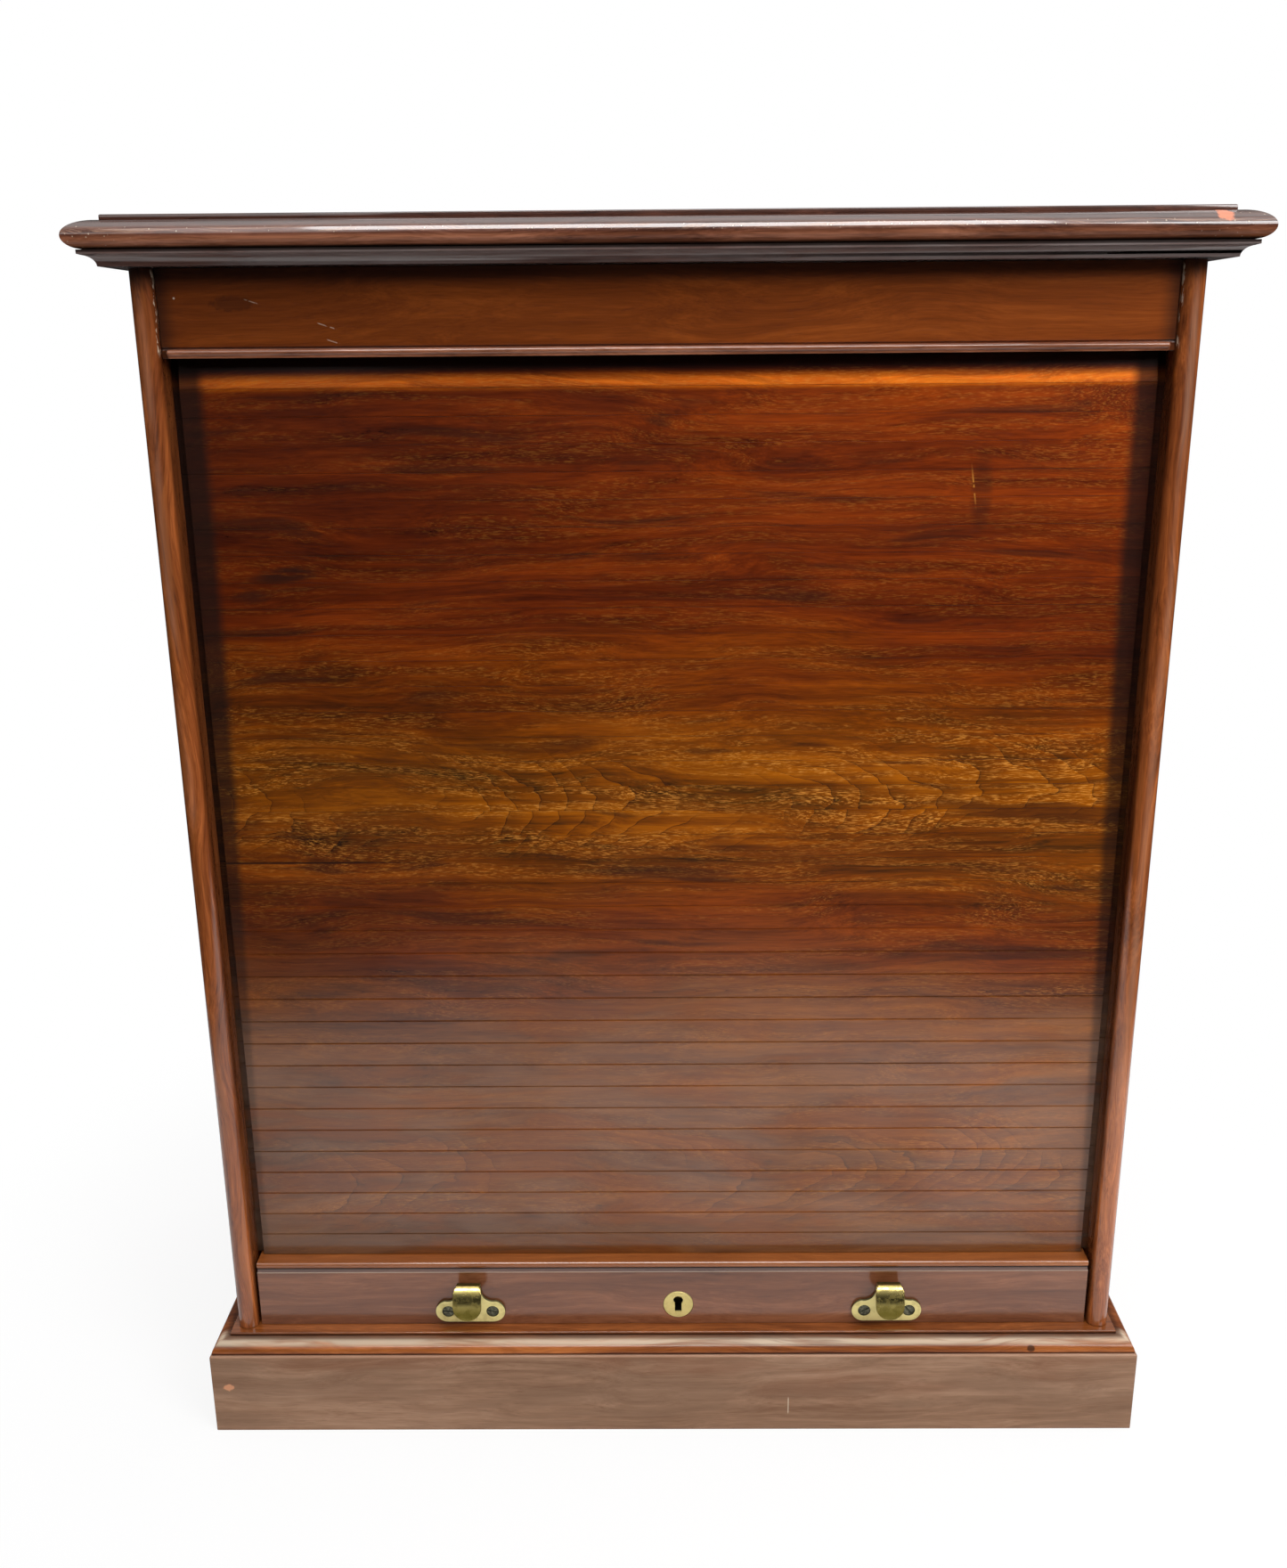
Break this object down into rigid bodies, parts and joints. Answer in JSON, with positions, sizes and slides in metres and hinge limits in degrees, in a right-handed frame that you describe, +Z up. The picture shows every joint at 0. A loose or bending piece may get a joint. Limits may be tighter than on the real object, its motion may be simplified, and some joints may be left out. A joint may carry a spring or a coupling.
{
  "type": "tambour cabinet",
  "caption": "Upright wooden cabinet whose front is a slatted tambour that lifts behind a frieze; brass hook lifts, lock rail, moulded top and plinth.",
  "frame": {"origin": "middle of the bounding box, on the floor", "axes": "+Z up; the tambour front faces -Y; +X to the right seen from the front"},
  "size_m": [0.6172, 0.3936, 0.7495],
  "materials": {
    "top_wood": "dark french-polished mahogany, worn along its edge",
    "cornice_wood": "dark polished mahogany",
    "side_wood": "polished red-brown mahogany, upright grain",
    "frieze_wood": "polished red-brown mahogany",
    "bead_wood": "dark polished mahogany",
    "tambour_wood": "glossy figured mahogany on a canvas backing",
    "rail_wood": "glossy polished mahogany",
    "base_wood": "polished mahogany",
    "plinth_wood": "dull, sun-faded mahogany",
    "back_wood": "plain unpolished wood",
    "inner_wood": "thinly polished wood",
    "block_wood": "bare softwood",
    "hook_brass": "worn polished brass",
    "escutcheon_brass": "polished brass",
    "lock_brass": "dull brass",
    "bolt_brass": "dull brass",
    "screw_steel": "dark oxidised steel"
  },
  "bodies": {
    "cabinet": {"top_board": "top_wood", "cornice_front": "cornice_wood", "cornice_left": "cornice_wood", "cornice_right": "cornice_wood", "cornice_back": "cornice_wood", "side_left": "side_wood", "side_right": "side_wood", "frieze_rail": "frieze_wood", "frieze_bead": "bead_wood", "base_board": "base_wood", "strike_plate": "lock_brass", "plinth_front": "plinth_wood", "plinth_left": "plinth_wood", "plinth_right": "plinth_wood", "plinth_back": "plinth_wood", "glue_block_front_left": "block_wood", "glue_block_front_right": "block_wood", "glue_block_back_left": "block_wood", "glue_block_back_right": "block_wood", "back_panel": "back_wood", "inner_back": "inner_wood", "inner_top": "inner_wood", "shelf_1": "inner_wood", "shelf_2": "inner_wood", "shelf_3": "inner_wood", "tambour_curtain": "tambour_wood"},
    "lift": {"lift_rail": "rail_wood", "lift_rail_moulding": "rail_wood", "hook_lift_left": "hook_brass", "hook_lift_right": "hook_brass", "hook_screw_left_outer": "screw_steel", "hook_screw_left_inner": "screw_steel", "hook_screw_right_inner": "screw_steel", "hook_screw_right_outer": "screw_steel", "escutcheon": "escutcheon_brass", "lock_case": "lock_brass"},
    "bolt": {"lock_bolt": "bolt_brass"}
  },
  "joints": [
    {"name": "tambour_lift", "type": "slide", "parent": "cabinet", "child": "lift", "axis": [0, 0, 1], "range_m": [0, 0.5626], "deforming": ["tambour_curtain"]},
    {"name": "lock_bolt_throw", "type": "slide", "parent": "lift", "child": "bolt", "axis": [0, 0, -1], "range_m": [0, 0.0065]}
  ]
}
